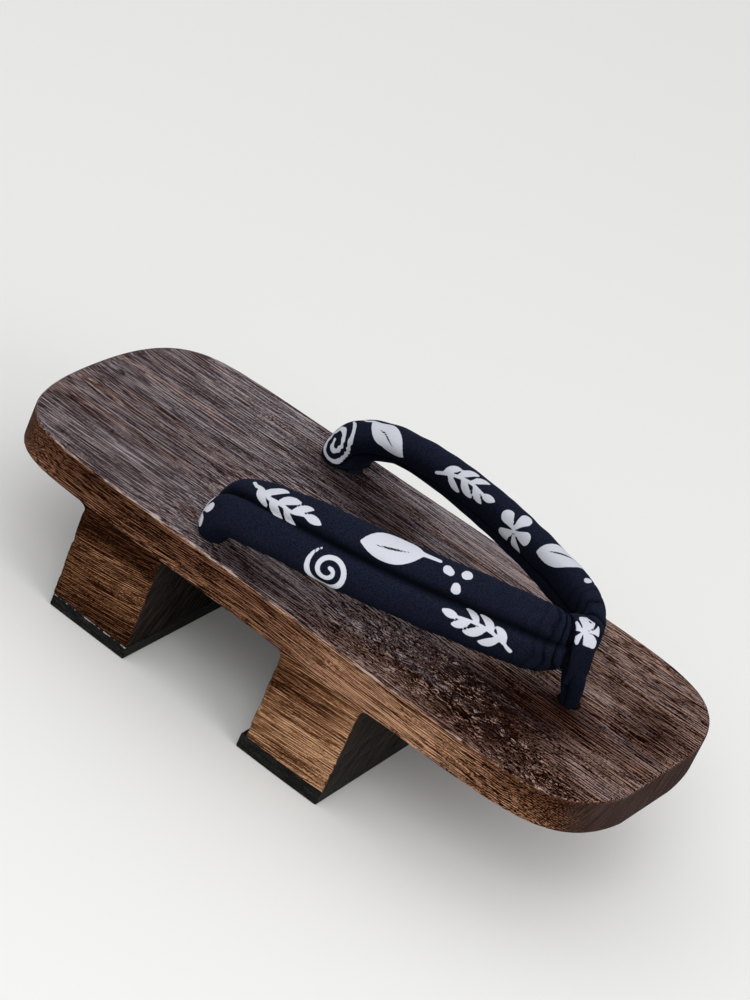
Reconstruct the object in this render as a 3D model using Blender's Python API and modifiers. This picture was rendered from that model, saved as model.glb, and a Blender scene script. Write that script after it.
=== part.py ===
"""A geta: a wooden sandal with a flat deck on two teeth, rubber treads and a padded cloth strap.

The toe points to -Y, the wearer's right is -X and the treads stand on Z = 0. Lengths are in metres.
"""
from math import cos, pi, radians, sin

import bmesh
import bpy
import numpy as np
from mathutils import Matrix, Vector

SHARP_ANGLE = radians(50)

# Deck
LENGTH = 0.245
WIDTH = 0.114
HEEL_WIDTH = 0.106
HEIGHT = 0.0528
DECK_THICKNESS = 0.0127
DECK_EDGE_ROUND = 0.0006
QUARTER_POINTS = 36
# Powers of the plan's superellipse, along and across the deck, in its toe half and its heel half
TOE_SQUARENESS = (10.0, 2.57)
HEEL_SQUARENESS = (13.0, 2.40)
TAPER_START_Y = -0.0225
TAPER_POWER = 1.5
SIDE_HOLLOW = 0.0007
SIDE_HOLLOW_RUN = 0.25

# Flat cut across the toe: where it meets the deck top on the centre line, its skew and its overhang
TOE_CUT_Y = -0.1214
TOE_CUT_SKEW = radians(2.2)
TOE_CUT_LEAN = radians(3.0)
SAW_DEPTH = 0.02

# Teeth: front face, back face at the deck and at the tread, and the cove under the deck
GAP = 0.0003
TOOTH_COLUMNS = ("name", "front_top_y", "front_low_y", "back_top_y", "back_low_y", "tread")
TOOTH_ROWS = (
    ("front", -0.0388, -0.0386, -0.0061, -0.0064, 0.0055),
    ("rear", 0.0452, 0.0446, 0.0785, 0.0774, 0.0050),
)
COVE_RADIUS = 0.0026
COVE_STEPS = 4
TREAD_COLUMNS = ("name", "front_y", "back_y")
TREAD_ROWS = (
    ("front", -0.0383, -0.0047),
    ("rear", 0.0445, 0.0771),
)
TREAD_ROUND = 0.0004

# Holes for the strap's cords, and the recess under each one that holds its knot
HOLE_RADIUS = 0.0042
HOLE_SIDES = 24
TOE_HOLE = (-0.0016, -0.0820)
RIGHT_HOLE = (-0.0394, 0.0386)
LEFT_HOLE = (0.0424, 0.0368)
RECESS_RADIUS = 0.0070
RECESS_DEPTH = 0.0068
RECESS_TOP = HEIGHT - DECK_THICKNESS + RECESS_DEPTH

# Strap: each row is one section of an arm, from its foot on the deck to the toe.
# turn is the plan angle of the section's wide axis and lean its rise towards the foot, in degrees.
# half_wide and half_thick are the section's half sizes, and groove is the depth between its two rolls
# as a share of half_thick.
ARM_COLUMNS = ("x", "y", "z", "turn", "lean", "half_wide", "half_thick", "groove")
RIGHT_ARM = (
    (-0.0392, 0.0392, 0.0545, 17, 4, 0.0102, 0.0060, 0.20),
    (-0.0397, 0.0384, 0.0588, 16, 14, 0.0108, 0.0063, 0.40),
    (-0.0406, 0.0354, 0.0635, 13, 28, 0.0111, 0.0063, 0.52),
    (-0.0416, 0.0296, 0.0670, 9, 37, 0.0113, 0.0062, 0.56),
    (-0.0418, 0.0204, 0.0695, 6, 43, 0.0115, 0.0062, 0.56),
    (-0.0399, 0.0020, 0.0722, 8, 50, 0.0118, 0.0063, 0.56),
    (-0.0345, -0.0220, 0.0737, 16, 56, 0.0119, 0.0063, 0.56),
    (-0.0252, -0.0445, 0.0741, 24, 61, 0.0118, 0.0062, 0.54),
    (-0.0165, -0.0600, 0.0733, 32, 65, 0.0116, 0.0059, 0.46),
    (-0.0115, -0.0664, 0.0722, 40, 68, 0.0112, 0.0055, 0.34),
    (-0.0070, -0.0706, 0.0714, 54, 74, 0.0102, 0.0046, 0.18),
    (-0.0024, -0.0733, 0.0714, 68, 80, 0.0080, 0.0035, 0.05),
    (0.0018, -0.0746, 0.0716, 76, 84, 0.0068, 0.0029, 0.00),
)
LEFT_ARM = (
    (0.0424, 0.0400, 0.0545, 24, 4, 0.0100, 0.0061, 0.20),
    (0.0427, 0.0397, 0.0590, 20, 12, 0.0108, 0.0065, 0.40),
    (0.0433, 0.0369, 0.0637, 14, 24, 0.0111, 0.0066, 0.52),
    (0.0432, 0.0300, 0.0680, 8, 31, 0.0109, 0.0064, 0.56),
    (0.0424, 0.0205, 0.0710, 4, 37, 0.0103, 0.0061, 0.56),
    (0.0390, 0.0020, 0.0736, 8, 48, 0.0100, 0.0060, 0.56),
    (0.0328, -0.0220, 0.0750, 16, 58, 0.0100, 0.0059, 0.56),
    (0.0245, -0.0455, 0.0758, 24, 62, 0.0102, 0.0058, 0.54),
    (0.0158, -0.0635, 0.0760, 36, 68, 0.0105, 0.0056, 0.46),
    (0.0100, -0.0718, 0.0757, 46, 74, 0.0103, 0.0053, 0.30),
    (0.0048, -0.0763, 0.0747, 60, 80, 0.0092, 0.0044, 0.15),
    (-0.0002, -0.0765, 0.0733, 70, 82, 0.0077, 0.0031, 0.05),
    (-0.0044, -0.0752, 0.0726, 64, 84, 0.0064, 0.0027, 0.00),
)
ROW_STEPS = 3
ROLL_STEPS = (1.0, 0.94, 0.80, 0.58, 0.36, 0.17, 0.0)
ROLL_BULGE = 0.35
GROOVE_SPREAD = 0.20
INNER_GROOVE = 0.35
FOOT_SHARE = 0.86

# Cord tails through the deck: radius in the hole, and the plain stopper knot in its recess
TAIL_RADIUS = 0.0036
TAIL_RISE = 0.0006
KNOT_COLUMNS = ("drop", "radius")
KNOT_ROWS = ((0.0060, 0.0026), (0.0053, 0.0046), (0.0034, 0.0056), (0.0014, 0.0049), (0.0003, 0.0038))

# Toe thong: a band looped over the joined arms, whose two ends meet in a stem down to the deck.
# The loop lies in an upright plane turned from the toe towards the right. ahead and side are measured
# in that plane and across it, and its rows run from the stem up the front, over the top and down behind.
LOOP_COLUMNS = ("ahead", "side", "z", "half_wide")
LOOP_ROWS = (
    (0.0056, 0.0024, 0.0590, 0.0034),
    (0.0060, 0.0022, 0.0645, 0.0038),
    (0.0062, 0.0008, 0.0705, 0.0041),
    (0.0056, 0.0000, 0.0760, 0.0042),
    (0.0030, 0.0000, 0.0798, 0.0043),
    (-0.0014, 0.0000, 0.0803, 0.0042),
    (-0.0050, 0.0000, 0.0775, 0.0040),
    (-0.0056, 0.0004, 0.0720, 0.0038),
    (-0.0036, 0.0012, 0.0665, 0.0034),
    (0.0010, 0.0020, 0.0612, 0.0030),
)
LOOP_CENTRE = (-0.0008, -0.0745)
LOOP_TURN = radians(38.0)
LOOP_HALF_THICK = 0.0009
LOOP_EDGE_POWER = 0.6
LOOP_SIDES = 12
STEM_COLUMNS = ("x", "y", "z", "half_x", "half_y")
STEM_ROWS = (
    (-0.0016, -0.0784, 0.0660, 0.0024, 0.0022),
    (-0.0013, -0.0798, 0.0625, 0.0035, 0.0034),
    (-0.0012, -0.0810, 0.0580, 0.0036, 0.0035),
    (-0.0015, -0.0817, 0.0530, 0.0035, 0.0032),
    (-0.0016, -0.0820, 0.0488, 0.0035, 0.0031),
)
STEM_SIDES = 20

# Names, colours and roughness of the materials
MATERIAL_COLUMNS = ("name", "colour", "roughness")
MATERIAL_ROWS = (
    ("charred_wood", (0.145, 0.095, 0.075), 0.75),
    ("tread_rubber", (0.012, 0.012, 0.013), 0.60),
    ("navy_cotton", (0.010, 0.014, 0.035), 0.90),
)

# Points this close are one, and edges that turn less than this are dissolved
WELD_DISTANCE = 1e-6
FLAT_ANGLE = radians(0.1)
# How far the cutters run past what they cut
OVERRUN = 0.01
UP = Vector((0, 0, 1))


def rows_as_dicts(columns, rows):
    return [dict(zip(columns, row)) for row in rows]


def clear_scene():
    for old in list(bpy.data.objects):
        bpy.data.objects.remove(old)


def new_collection(name):
    collection = bpy.data.collections.new(name)
    bpy.context.scene.collection.children.link(collection)
    return collection


def new_material(row):
    material = bpy.data.materials.new(row["name"])
    material.use_nodes = True
    shader = material.node_tree.nodes["Principled BSDF"]
    shader.inputs["Base Color"].default_value = (*row["colour"], 1.0)
    shader.inputs["Roughness"].default_value = row["roughness"]
    shader.inputs["Metallic"].default_value = 0.0
    return material


def new_object(name, mesh, collection, material=None):
    obj = bpy.data.objects.new(name, mesh)
    if material:
        mesh.materials.append(material)
    collection.objects.link(obj)
    return obj


def half_width(y):
    """Half width of the deck at y: a superellipse whose heel half is squarer and tapers."""
    share = min(abs(2 * y / LENGTH), 1.0)
    end_power, side_power = TOE_SQUARENESS if y < 0 else HEEL_SQUARENESS
    run = max(0, (y - TAPER_START_Y) / (LENGTH / 2 - TAPER_START_Y))
    hollow = SIDE_HOLLOW * min(run / SIDE_HOLLOW_RUN, 1)
    taper = (WIDTH / 2 - SIDE_HOLLOW - HEEL_WIDTH / 2) * run ** TAPER_POWER
    return (WIDTH / 2 - hollow - taper) * (1 - share ** end_power) ** (1 / side_power)


def deck_outline():
    """Points around the deck, close together at the corners."""
    angles = np.linspace(-pi / 2, pi / 2, 2 * QUARTER_POINTS + 1)
    right = [(-half_width(LENGTH / 2 * sin(a)), LENGTH / 2 * sin(a)) for a in angles]
    left = [(-x, y) for x, y in reversed(right[1:-1])]
    return right + left


def flat_solid(name, points, low, high, collection):
    """A solid from a flat outline, made as a filled curve and turned into a welded mesh."""
    curve = bpy.data.curves.new(name, "CURVE")
    curve.dimensions = "2D"
    curve.fill_mode = "BOTH"
    curve.extrude = (high - low) / 2
    spline = curve.splines.new("POLY")
    spline.points.add(len(points) - 1)
    for point, (x, y) in zip(spline.points, points):
        point.co = (x, y, 0, 1)
    spline.use_cyclic_u = True
    guide = bpy.data.objects.new(name + "_outline", curve)
    collection.objects.link(guide)
    bpy.context.view_layer.update()
    graph = bpy.context.evaluated_depsgraph_get()
    mesh = bpy.data.meshes.new_from_object(guide.evaluated_get(graph))
    mesh.transform(Matrix.Translation((0, 0, (high + low) / 2)))
    bpy.data.objects.remove(guide)
    welded = bmesh.new()
    welded.from_mesh(mesh)
    bmesh.ops.remove_doubles(welded, verts=welded.verts, dist=WELD_DISTANCE)
    bmesh.ops.dissolve_limit(welded, angle_limit=FLAT_ANGLE, verts=welded.verts, edges=welded.edges)
    bmesh.ops.recalc_face_normals(welded, faces=welded.faces)
    welded.to_mesh(mesh)
    welded.free()
    mesh.name = name
    return new_object(name, mesh, collection)


def loft(name, rings, collection):
    """A closed solid through rings of points, with flat ends."""
    built = bmesh.new()
    layers = [[built.verts.new(point) for point in ring] for ring in rings]
    for near, far in zip(layers, layers[1:]):
        for i in range(len(near)):
            j = (i + 1) % len(near)
            built.faces.new((near[i], near[j], far[j], far[i]))
    built.faces.new(layers[0])
    built.faces.new(layers[-1])
    bmesh.ops.recalc_face_normals(built, faces=built.faces)
    mesh = bpy.data.meshes.new(name)
    built.to_mesh(mesh)
    built.free()
    return new_object(name, mesh, collection)


def add_boolean(obj, cutter, operation):
    modifier = obj.modifiers.new(operation.title() + "_" + cutter.name, "BOOLEAN")
    modifier.operation = operation
    modifier.object = cutter
    modifier.solver = "EXACT"


def add_bevel(obj, width):
    modifier = obj.modifiers.new("Round", "BEVEL")
    modifier.width = width
    modifier.segments = 1
    modifier.limit_method = "ANGLE"
    modifier.angle_limit = SHARP_ANGLE


def hide_cutter(obj):
    obj.hide_render = True
    obj.display_type = "WIRE"


def box_cutter(name, size, centre, rotation, collection):
    bpy.ops.mesh.primitive_cube_add(size=1, location=centre, rotation=rotation)
    box = bpy.context.object
    box.name = name
    for owner in list(box.users_collection):
        owner.objects.unlink(box)
    collection.objects.link(box)
    box.data.transform(Matrix.Diagonal((*size, 1)))
    hide_cutter(box)
    return box


def round_cutter(name, place, radius, low, high, collection):
    bpy.ops.mesh.primitive_cylinder_add(
        vertices=HOLE_SIDES, radius=radius, depth=high - low, location=(*place, (low + high) / 2))
    drill = bpy.context.object
    drill.name = name
    for owner in list(drill.users_collection):
        owner.objects.unlink(drill)
    collection.objects.link(drill)
    hide_cutter(drill)
    return drill


def make_deck(parts, cutters, wood):
    deck = flat_solid("deck", deck_outline(), HEIGHT - DECK_THICKNESS, HEIGHT, parts)
    deck.data.materials.append(wood)
    saw = box_cutter(
        "toe_saw", (WIDTH + 2 * OVERRUN, SAW_DEPTH, 2 * (DECK_THICKNESS + OVERRUN)), (0, TOE_CUT_Y, HEIGHT),
        (-TOE_CUT_LEAN, 0, -TOE_CUT_SKEW), cutters)
    saw.data.transform(Matrix.Translation((0, -SAW_DEPTH / 2, 0)))
    add_boolean(deck, saw, "DIFFERENCE")
    add_bevel(deck, DECK_EDGE_ROUND)
    for name, place in (("toe", TOE_HOLE), ("right", RIGHT_HOLE), ("left", LEFT_HOLE)):
        drill = round_cutter(name + "_drill", place, HOLE_RADIUS, 0, HEIGHT + OVERRUN, cutters)
        recess = round_cutter(name + "_recess", place, RECESS_RADIUS, 0, RECESS_TOP, cutters)
        add_boolean(deck, drill, "DIFFERENCE")
        add_boolean(deck, recess, "DIFFERENCE")
    return deck


def tooth_profile(row):
    """Side view of a tooth as (y, z): straight faces with a cove where each meets the deck."""
    top = HEIGHT - DECK_THICKNESS - GAP
    low = row["tread"] + GAP
    turns = np.linspace(0, pi / 2, COVE_STEPS + 1)
    cove = [(COVE_RADIUS * (1 - cos(t)), top - COVE_RADIUS * (1 - sin(t))) for t in turns]
    points = [(row["front_low_y"], low), (row["back_low_y"], low)]
    points += [(row["back_top_y"] + out, z) for out, z in cove]
    points += [(row["front_top_y"] - out, z) for out, z in reversed(cove)]
    return points


def across_deck(name, profile, prism, parts, material):
    """A bar with the given side profile, trimmed at both ends to the deck's outline."""
    bar = flat_solid(name, profile, -WIDTH, WIDTH, parts)
    stand_up = Matrix(((0, 0, 1, 0), (1, 0, 0, 0), (0, 1, 0, 0), (0, 0, 0, 1)))
    bar.data.transform(stand_up)
    bar.data.materials.append(material)
    add_boolean(bar, prism, "INTERSECT")
    return bar


def make_teeth(parts, prism, wood):
    for row in rows_as_dicts(TOOTH_COLUMNS, TOOTH_ROWS):
        across_deck(row["name"] + "_tooth", tooth_profile(row), prism, parts, wood)


def make_treads(parts, prism, rubber):
    heights = {row["name"]: row["tread"] for row in rows_as_dicts(TOOTH_COLUMNS, TOOTH_ROWS)}
    for row in rows_as_dicts(TREAD_COLUMNS, TREAD_ROWS):
        top = heights[row["name"]]
        profile = [(row["front_y"], 0), (row["back_y"], 0), (row["back_y"], top), (row["front_y"], top)]
        tread = across_deck(row["name"] + "_tread", profile, prism, parts, rubber)
        add_bevel(tread, TREAD_ROUND)


def smooth_rows(columns, rows, steps):
    """Rows between the given ones on a Catmull-Rom curve."""
    table = np.array(rows, float)
    first = 2 * table[0] - table[1]
    last = 2 * table[-1] - table[-2]
    padded = np.vstack((first, table, last))
    result = []
    for k in range(1, len(padded) - 2):
        a, b, c, d = padded[k - 1:k + 3]
        for t in np.arange(steps) / steps:
            result.append(0.5 * (2 * b + (c - a) * t + (2 * a - 5 * b + 4 * c - d) * t ** 2
                                 + (3 * b - a - 3 * c + d) * t ** 3))
    result.append(table[-1])
    return rows_as_dicts(columns, result)


def paths_through(centres):
    """Unit direction of a line of points at each of them."""
    return [Vector(step).normalized() for step in np.gradient(np.array(centres), axis=0)]


def roll_section(half_wide, half_thick, groove):
    """A flattened roll with a groove along the middle of each face, deeper on the outer one."""
    ring = []
    for side, depth in ((1, groove), (-1, groove * INNER_GROOVE)):
        steps = [*ROLL_STEPS, *(-s for s in reversed(ROLL_STEPS[:-1]))]
        for share in (side * s for s in steps[:-1]):
            bulge = (1 - share ** 2) ** ROLL_BULGE
            pinch = 1 - depth * np.exp(-(share / GROOVE_SPREAD) ** 2)
            ring.append((half_wide * share, side * half_thick * bulge * pinch))
    return ring


def tail_rows(hole, foot):
    """Sections of an arm from its knot in the recess, up through the hole and out under the arm's foot."""
    sizes = [(RECESS_TOP - knot["drop"], knot["radius"]) for knot in rows_as_dicts(KNOT_COLUMNS, KNOT_ROWS)]
    sizes += [(RECESS_TOP + TAIL_RISE, TAIL_RADIUS), (HEIGHT, TAIL_RADIUS)]
    rows = [dict(foot, x=hole[0], y=hole[1], z=z, lean=0, half_wide=radius, half_thick=radius, groove=0)
            for z, radius in sizes]
    rows.append(dict(foot, z=HEIGHT + GAP, half_wide=FOOT_SHARE * foot["half_wide"],
                     half_thick=FOOT_SHARE * foot["half_thick"], groove=0))
    return rows


def arm_rings(table, hole, inward):
    """Rings of points along one arm; inward is +1 or -1, the way along X to the foot."""
    arm = smooth_rows(ARM_COLUMNS, table, ROW_STEPS)
    tail = tail_rows(hole, arm[0])
    paths = [UP] * len(tail) + paths_through([(row["x"], row["y"], row["z"]) for row in arm])
    rings = []
    for row, ahead in zip(tail + arm, paths):
        turn, lean = radians(row["turn"]), radians(row["lean"])
        wide = Vector((inward * cos(turn) * cos(lean), sin(turn) * cos(lean), sin(lean)))
        wide = (wide - wide.dot(ahead) * ahead).normalized()
        thin = ahead.cross(wide) * inward
        centre = Vector((row["x"], row["y"], row["z"]))
        section = roll_section(row["half_wide"], row["half_thick"], row["groove"])
        rings.append([centre + wide * across + thin * outward for across, outward in section])
    return rings


def loop_rings(clearance):
    """Rings of the thong's band around the joined arms, grown by a clearance for the cutter."""
    rows = smooth_rows(LOOP_COLUMNS, LOOP_ROWS, ROW_STEPS)
    wide = Vector((cos(LOOP_TURN), -sin(LOOP_TURN), 0))
    out = Vector((-sin(LOOP_TURN), -cos(LOOP_TURN), 0))
    centres = [Vector((*LOOP_CENTRE, row["z"])) + out * row["ahead"] + wide * row["side"] for row in rows]
    rings = []
    for row, centre, path in zip(rows, centres, paths_through(centres)):
        thin = wide.cross(path)
        ring = []
        for t in np.linspace(0, 2 * pi, LOOP_SIDES, endpoint=False):
            across = (row["half_wide"] + clearance) * np.sign(cos(t)) * abs(cos(t)) ** LOOP_EDGE_POWER
            outward = (LOOP_HALF_THICK + clearance) * np.sign(sin(t)) * abs(sin(t)) ** LOOP_EDGE_POWER
            ring.append(centre + wide * across + thin * outward)
        rings.append(ring)
    return rings


def stem_rings(clearance):
    """Rings of the thong's stem and its stopper knot, grown by a clearance for the cutter."""
    x, y = TOE_HOLE
    rows = smooth_rows(STEM_COLUMNS, STEM_ROWS, ROW_STEPS)
    rows += [dict(x=x, y=y, z=RECESS_TOP - knot["drop"], half_x=knot["radius"], half_y=knot["radius"])
             for knot in reversed(rows_as_dicts(KNOT_COLUMNS, KNOT_ROWS))]
    rows[0]["z"] += clearance
    turns = np.linspace(0, 2 * pi, STEM_SIDES, endpoint=False)
    rings = []
    for row in rows:
        half_x, half_y = row["half_x"] + clearance, row["half_y"] + clearance
        rings.append([(row["x"] + half_x * cos(t), row["y"] + half_y * sin(t), row["z"]) for t in turns])
    return rings


def make_strap(parts, cutters, cloth):
    strap = loft("strap", arm_rings(RIGHT_ARM, RIGHT_HOLE, 1), parts)
    strap.data.materials.append(cloth)
    left_arm = loft("left_arm", arm_rings(LEFT_ARM, LEFT_HOLE, -1), cutters)
    add_boolean(strap, left_arm, "UNION")
    hide_cutter(left_arm)
    thong = loft("toe_thong", stem_rings(0), parts)
    thong.data.materials.append(cloth)
    loop = loft("thong_loop", loop_rings(0), cutters)
    hide_cutter(loop)
    add_boolean(thong, loop, "UNION")
    for name, rings in (("loop_room", loop_rings(GAP)), ("stem_room", stem_rings(GAP))):
        room = loft(name, rings, cutters)
        hide_cutter(room)
        add_boolean(strap, room, "DIFFERENCE")
    for obj in (strap, thong):
        obj.data.shade_smooth()
        obj.data.set_sharp_from_angle(angle=SHARP_ANGLE)


def main():
    clear_scene()
    parts = new_collection("geta_sandal")
    cutters = new_collection("cutters")
    wood, rubber, cloth = (new_material(row) for row in rows_as_dicts(MATERIAL_COLUMNS, MATERIAL_ROWS))
    prism = flat_solid("outline_prism", deck_outline(), -OVERRUN, HEIGHT, cutters)
    hide_cutter(prism)
    make_deck(parts, cutters, wood)
    make_teeth(parts, prism, wood)
    make_treads(parts, prism, rubber)
    make_strap(parts, cutters, cloth)


main()
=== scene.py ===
"""Finish of a geta: a charred, wire-brushed wooden deck, rubber treads and a padded printed cotton strap.

Laid out as a Blender add-on and run as a script. Lengths are in metres unless a name ends in _mm.
"""

from functools import partial
from math import cos, pi, radians, sin, tan

import bmesh
import bpy
import numpy as np
from bpy.props import FloatProperty, FloatVectorProperty, PointerProperty
from mathutils import Matrix, Vector, noise


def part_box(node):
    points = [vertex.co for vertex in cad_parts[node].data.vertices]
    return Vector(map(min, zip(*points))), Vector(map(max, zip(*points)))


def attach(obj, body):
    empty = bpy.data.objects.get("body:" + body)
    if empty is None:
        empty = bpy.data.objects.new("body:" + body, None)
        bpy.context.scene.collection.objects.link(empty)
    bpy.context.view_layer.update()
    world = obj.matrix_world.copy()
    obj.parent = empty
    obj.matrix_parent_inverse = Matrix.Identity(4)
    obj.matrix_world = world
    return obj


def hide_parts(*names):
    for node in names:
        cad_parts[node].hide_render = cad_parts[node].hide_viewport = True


bl_info = {
    "name": "Geta sandal finish",
    "version": (1, 0, 0),
    "blender": (4, 5, 0),
    "location": "View3D > Sidebar > Geta",
    "description": "Builds the visible wood, rubber and cloth of a geta around its solid model",
    "category": "Object",
}

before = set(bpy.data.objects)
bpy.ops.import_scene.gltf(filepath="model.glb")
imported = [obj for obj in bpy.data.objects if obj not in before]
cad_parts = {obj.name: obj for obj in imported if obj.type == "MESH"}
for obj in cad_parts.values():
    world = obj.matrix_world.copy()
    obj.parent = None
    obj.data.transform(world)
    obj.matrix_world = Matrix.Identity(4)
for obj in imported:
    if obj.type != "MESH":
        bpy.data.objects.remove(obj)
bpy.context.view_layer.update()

MM = 0.001
BODY = "root"

# Deck, as the solid model has it
LENGTH = 0.245
WIDTH = 0.114
HEEL_WIDTH = 0.106
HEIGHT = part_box("deck")[1].z
DECK_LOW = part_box("deck")[0].z
TOE_SQUARENESS = (10.0, 2.57)
HEEL_SQUARENESS = (13.0, 2.40)
TAPER_START_Y = -0.0225
TAPER_POWER = 1.5
SIDE_HOLLOW = 0.0007
SIDE_HOLLOW_RUN = 0.25
TOE_CUT_Y = -0.1214
TOE_CUT_SKEW = radians(2.2)
TOE_CUT_LEAN = radians(3.0)
# Teeth: front and back of each at the deck and at its tread, and how much its sides darken to the back
TOOTH_COLUMNS = ("name", "front_top_y", "front_low_y", "back_top_y", "back_low_y", "darkening")
TOOTH_ROWS = (
    ("front", -0.0388, -0.0386, -0.0061, -0.0064, 0.26),
    ("rear", 0.0452, 0.0446, 0.0785, 0.0774, 0.0),
)
COVE_RADIUS = 0.0026
HOLE_RADIUS = 0.0042
TOE_HOLE = (-0.0016, -0.0820)
RIGHT_HOLE = (-0.0394, 0.0386)
LEFT_HOLE = (0.0424, 0.0368)
RECESS_RADIUS = 0.0070
RECESS_TOP = DECK_LOW + 0.0068

# Strap, as the solid model has it. Sections of each arm from its foot to the toe: x, y, z, turn and lean in
# degrees, half width, half thickness, depth of the seam groove as a share
RIGHT_ARM = (
    (-0.0392, 0.0392, 0.0545, 17, 4, 0.0102, 0.0060, 0.20),
    (-0.0397, 0.0384, 0.0588, 16, 14, 0.0108, 0.0063, 0.40),
    (-0.0406, 0.0354, 0.0635, 13, 28, 0.0111, 0.0063, 0.52),
    (-0.0416, 0.0296, 0.0670, 9, 37, 0.0113, 0.0062, 0.56),
    (-0.0418, 0.0204, 0.0695, 6, 43, 0.0115, 0.0062, 0.56),
    (-0.0399, 0.0020, 0.0722, 8, 50, 0.0118, 0.0063, 0.56),
    (-0.0345, -0.0220, 0.0737, 16, 56, 0.0119, 0.0063, 0.56),
    (-0.0252, -0.0445, 0.0741, 24, 61, 0.0118, 0.0062, 0.54),
    (-0.0165, -0.0600, 0.0733, 32, 65, 0.0116, 0.0059, 0.46),
    (-0.0115, -0.0664, 0.0722, 40, 68, 0.0112, 0.0055, 0.34),
    (-0.0070, -0.0706, 0.0714, 54, 74, 0.0102, 0.0046, 0.18),
    (-0.0024, -0.0733, 0.0714, 68, 80, 0.0080, 0.0035, 0.05),
    (0.0018, -0.0746, 0.0716, 76, 84, 0.0068, 0.0029, 0.00),
)
LEFT_ARM = (
    (0.0424, 0.0400, 0.0545, 24, 4, 0.0100, 0.0061, 0.20),
    (0.0427, 0.0397, 0.0590, 20, 12, 0.0108, 0.0065, 0.40),
    (0.0433, 0.0369, 0.0637, 14, 24, 0.0111, 0.0066, 0.52),
    (0.0432, 0.0300, 0.0680, 8, 31, 0.0109, 0.0064, 0.56),
    (0.0424, 0.0205, 0.0710, 4, 37, 0.0103, 0.0061, 0.56),
    (0.0390, 0.0020, 0.0736, 8, 48, 0.0100, 0.0060, 0.56),
    (0.0328, -0.0220, 0.0750, 16, 58, 0.0100, 0.0059, 0.56),
    (0.0245, -0.0455, 0.0758, 24, 62, 0.0102, 0.0058, 0.54),
    (0.0158, -0.0635, 0.0760, 36, 68, 0.0105, 0.0056, 0.46),
    (0.0100, -0.0718, 0.0757, 46, 74, 0.0103, 0.0053, 0.30),
    (0.0048, -0.0763, 0.0747, 60, 80, 0.0092, 0.0044, 0.15),
    (-0.0002, -0.0765, 0.0733, 70, 82, 0.0077, 0.0031, 0.05),
    (-0.0044, -0.0752, 0.0726, 64, 84, 0.0064, 0.0027, 0.00),
)
ROLL_BULGE = 0.78
GROOVE_DEEPEN = 0.75
GROOVE_DRIFT = 0.55
GROOVE_DRIFT_RUN_MM = 14.0
GROOVE_SPREAD = 0.13
GROOVE_POWER = 1.15
INNER_GROOVE = 0.35
# Where an arm meets the deck: rise over it, share of the arm's first section
FOOT_ROWS = ((0.0004, 0.80), (0.0009, 0.92), (0.0016, 1.0))
TAIL_RADIUS = 0.0036
TAIL_RISE = 0.0006
# Stopper knots: drop below the recess's top, radius
KNOT_ROWS = ((0.0060, 0.0026), (0.0053, 0.0046), (0.0034, 0.0056), (0.0014, 0.0049), (0.0003, 0.0038))
ARM_STEPS = 24
ARM_SIDES = 120

# Toe thong: its loop as the solid model has it. Ahead, to the side, height, half width
LOOP_ROWS = (
    (0.0056, 0.0024, 0.0590, 0.0034),
    (0.0060, 0.0022, 0.0645, 0.0038),
    (0.0062, 0.0008, 0.0705, 0.0041),
    (0.0056, 0.0000, 0.0760, 0.0042),
    (0.0030, 0.0000, 0.0798, 0.0043),
    (-0.0014, 0.0000, 0.0803, 0.0042),
    (-0.0050, 0.0000, 0.0775, 0.0040),
    (-0.0056, 0.0004, 0.0720, 0.0038),
    (-0.0036, 0.0012, 0.0665, 0.0034),
    (0.0010, 0.0020, 0.0612, 0.0030),
)
LOOP_CENTRE = (-0.0008, -0.0745)
LOOP_TURN = radians(38.0)
LOOP_HALF_THICK = 0.0009
LOOP_EDGE_POWER = 0.6
LOOP_STEPS = 12
LOOP_SIDES = 40
# The stem, fuller than the solid one, as the padded cloth stands: x, y, z, half widths across and along
STEM_ROWS = (
    (-0.0016, -0.0784, 0.0660, 0.0026, 0.0030),
    (-0.0013, -0.0793, 0.0625, 0.0035, 0.0043),
    (-0.0012, -0.0806, 0.0580, 0.0036, 0.0041),
    (-0.0012, -0.0819, 0.0530, 0.0034, 0.0031),
    (-0.0012, -0.0822, 0.0488, 0.0032, 0.0027),
)
STEM_STEPS = 12
STEM_SIDES = 64
# The stem's lengthwise fold: its angle, its spread and its depth as a share
STEM_FOLD = (radians(170), radians(14), 0.30)
# The whole stem is darkened at least this much, on the scale of the seam's painted shade
STEM_DARKENING = 0.5

# Print: motif, mm along the arm, mm around it from its outer middle, turn in degrees, scale
RIGHT_PRINT = (
    ("blossom", 3.0, 3.0, 20, 1.2),
    ("twig", 29.0, -7.5, 12, 1.45),
    ("curl", 51.0, 10.2, 250, 1.35),
    ("leaf", 66.0, -9.0, 165, 1.9),
    ("dots", 88.0, -9.0, 60, 1.3),
    ("twig", 100.0, 7.0, 188, 1.35),
)
LEFT_PRINT = (
    ("curl", 6.0, -17.0, 60, 1.25),
    ("blossom", 30.0, 4.0, 0, 1.4),
    ("leaf", 25.0, -17.0, 330, 1.6),
    ("twig", 60.0, -18.0, 8, 1.4),
    ("blossom", 86.0, -20.0, 10, 1.6),
    ("leaf", 107.0, -14.0, 215, 1.8),
    ("twig", 72.0, 6.0, 20, 1.2),
    ("curl", 104.0, 6.0, 20, 1.1),
    ("dots", 121.0, -10.0, 10, 1.0),
)
THONG_PRINT = (("blossom", 20.5, -0.5, 80, 1.0),)
MOTIF_REACH_MM = 12.0
PRINT_FAR_MM = 9.0


def linear(hex_colour):
    """An sRGB hex colour as linear red, green and blue."""
    parts = [int(hex_colour[i:i + 2], 16) / 255 for i in (1, 3, 5)]
    return tuple(c / 12.92 if c <= 0.04045 else ((c + 0.055) / 1.055) ** 2.4 for c in parts)


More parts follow.
